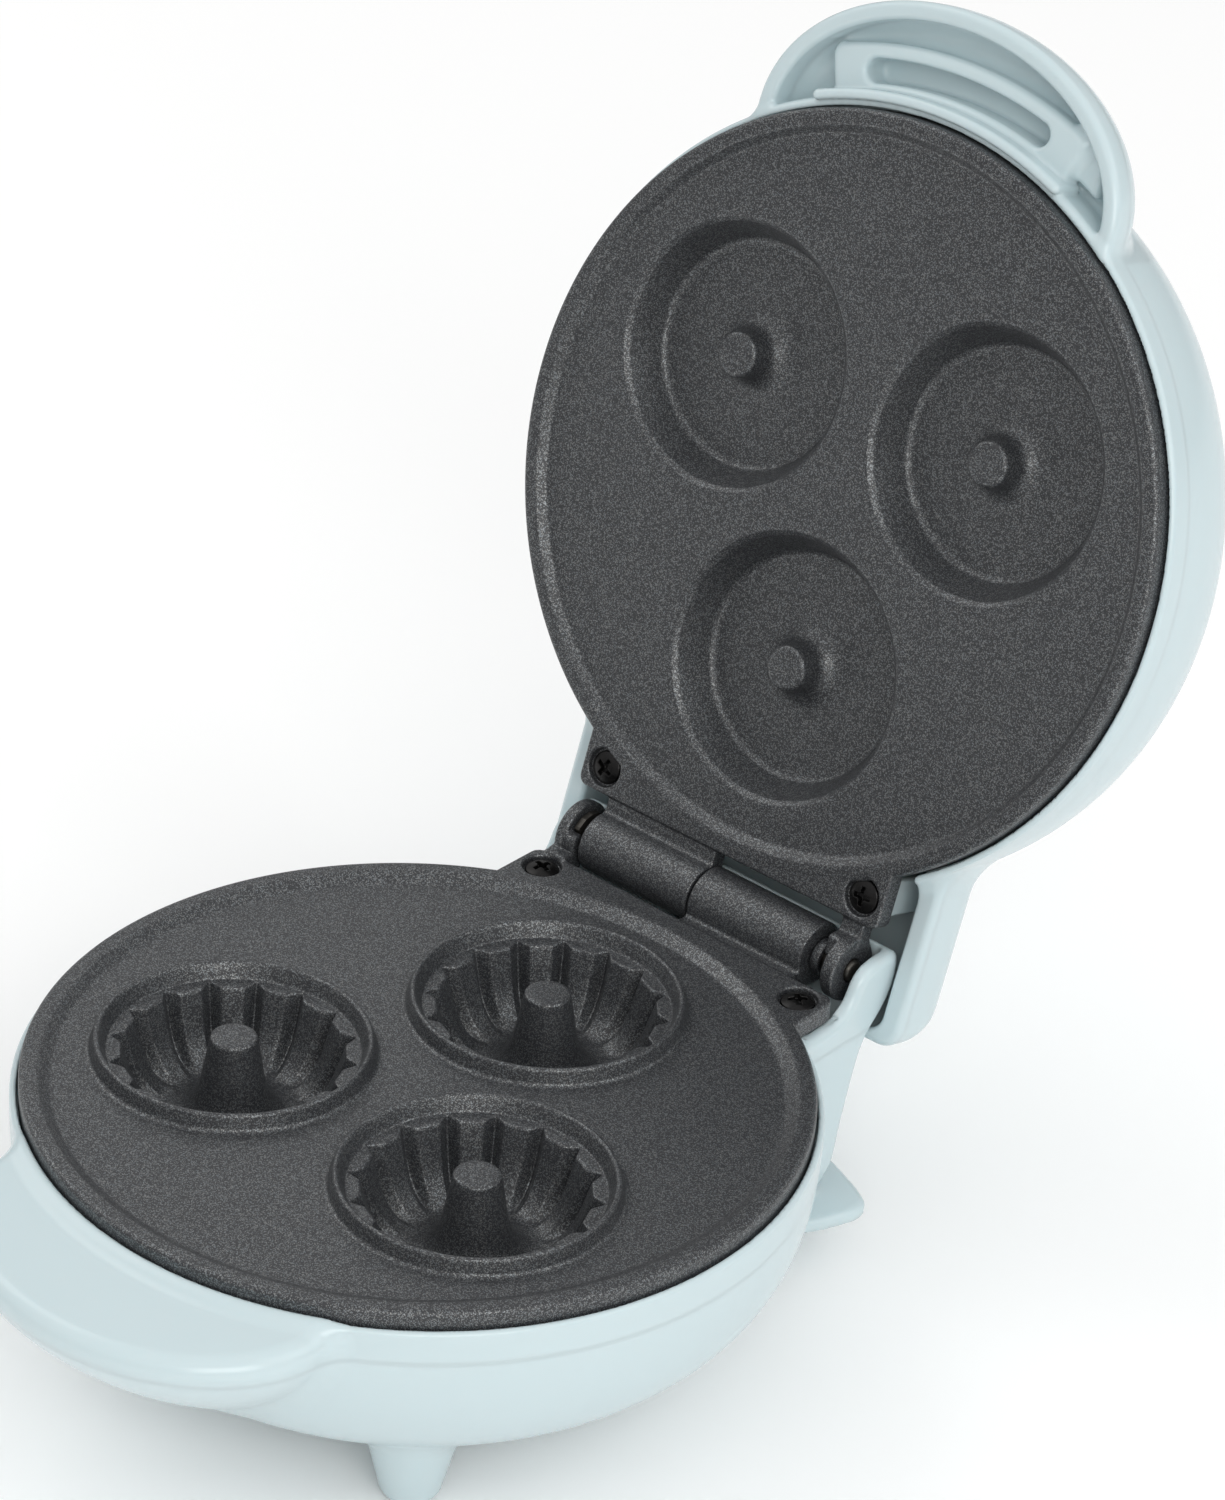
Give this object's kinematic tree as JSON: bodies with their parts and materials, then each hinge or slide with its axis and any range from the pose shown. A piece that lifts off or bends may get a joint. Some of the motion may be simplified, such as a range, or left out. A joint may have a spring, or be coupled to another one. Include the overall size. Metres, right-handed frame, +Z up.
{
  "type": "donut maker",
  "caption": "Small countertop donut maker: two hinged shells hold heated non-stick castings, fluted ring moulds below and plain ring pans above.",
  "frame": {"origin": "on the table under the middle of the open assembly, at the bottom of the foot pads", "axes": "+Z up, +X to the right, -Y towards the handles, +Y towards the hinge"},
  "size_m": [0.135, 0.2358, 0.2029],
  "materials": {
    "shell": "smooth glossy pale blue moulded plastic",
    "casting": "cast aluminium with a dark speckled non-stick coating",
    "screw": "black oxide screw steel",
    "steel": "plain steel",
    "darksteel": "dark oiled steel",
    "sheath": "sheathed heating tube",
    "tin": "thin bright sheet",
    "ceramic": "matt ceramic or heat-proof moulding",
    "rubber": "soft rubber",
    "lens": "tinted clear lens",
    "sleeve": "glass-fibre sleeve"
  },
  "bodies": {
    "base": {"base_shell": "shell", "base_plate": "casting", "base_plate_screw_left": "screw", "base_plate_screw_right": "screw", "base_heater": "sheath", "base_heater_clamp_right": "steel", "base_clamp_screw_right": "screw", "base_heater_clamp_left": "steel", "base_clamp_screw_left": "screw", "base_thermostat": "ceramic", "base_thermal_fuse": "sleeve", "base_heat_shield": "tin", "base_shield_screw_1": "screw", "base_shield_screw_2": "screw", "base_shield_screw_3": "screw", "base_terminal_block": "ceramic", "foot_pad_front_left": "rubber", "foot_pad_front_right": "rubber", "foot_pad_rear_left": "rubber", "foot_pad_rear_right": "rubber", "hinge_pin": "steel", "hinge_washer_left": "darksteel", "hinge_bush_right": "darksteel"},
    "lid": {"lid_shell": "shell", "lid_plate": "casting", "lid_plate_screw_left": "screw", "lid_plate_screw_right": "screw", "lid_heater": "sheath", "lid_heater_clamp_right": "steel", "lid_clamp_screw_right": "screw", "lid_heater_clamp_left": "steel", "lid_clamp_screw_left": "screw", "lid_thermal_fuse": "sleeve", "lid_heat_shield": "tin", "lid_shield_screw_1": "screw", "lid_shield_screw_2": "screw", "lid_shield_screw_3": "screw", "pilot_lens": "lens", "neon_lamp": "lens"}
  },
  "joints": [
    {"name": "lid_hinge", "type": "hinge", "parent": "base", "child": "lid", "pos_m": [0, 0.04516, 0.05112], "axis": [1, 0, 0], "range_deg": [0, 107.8]}
  ]
}
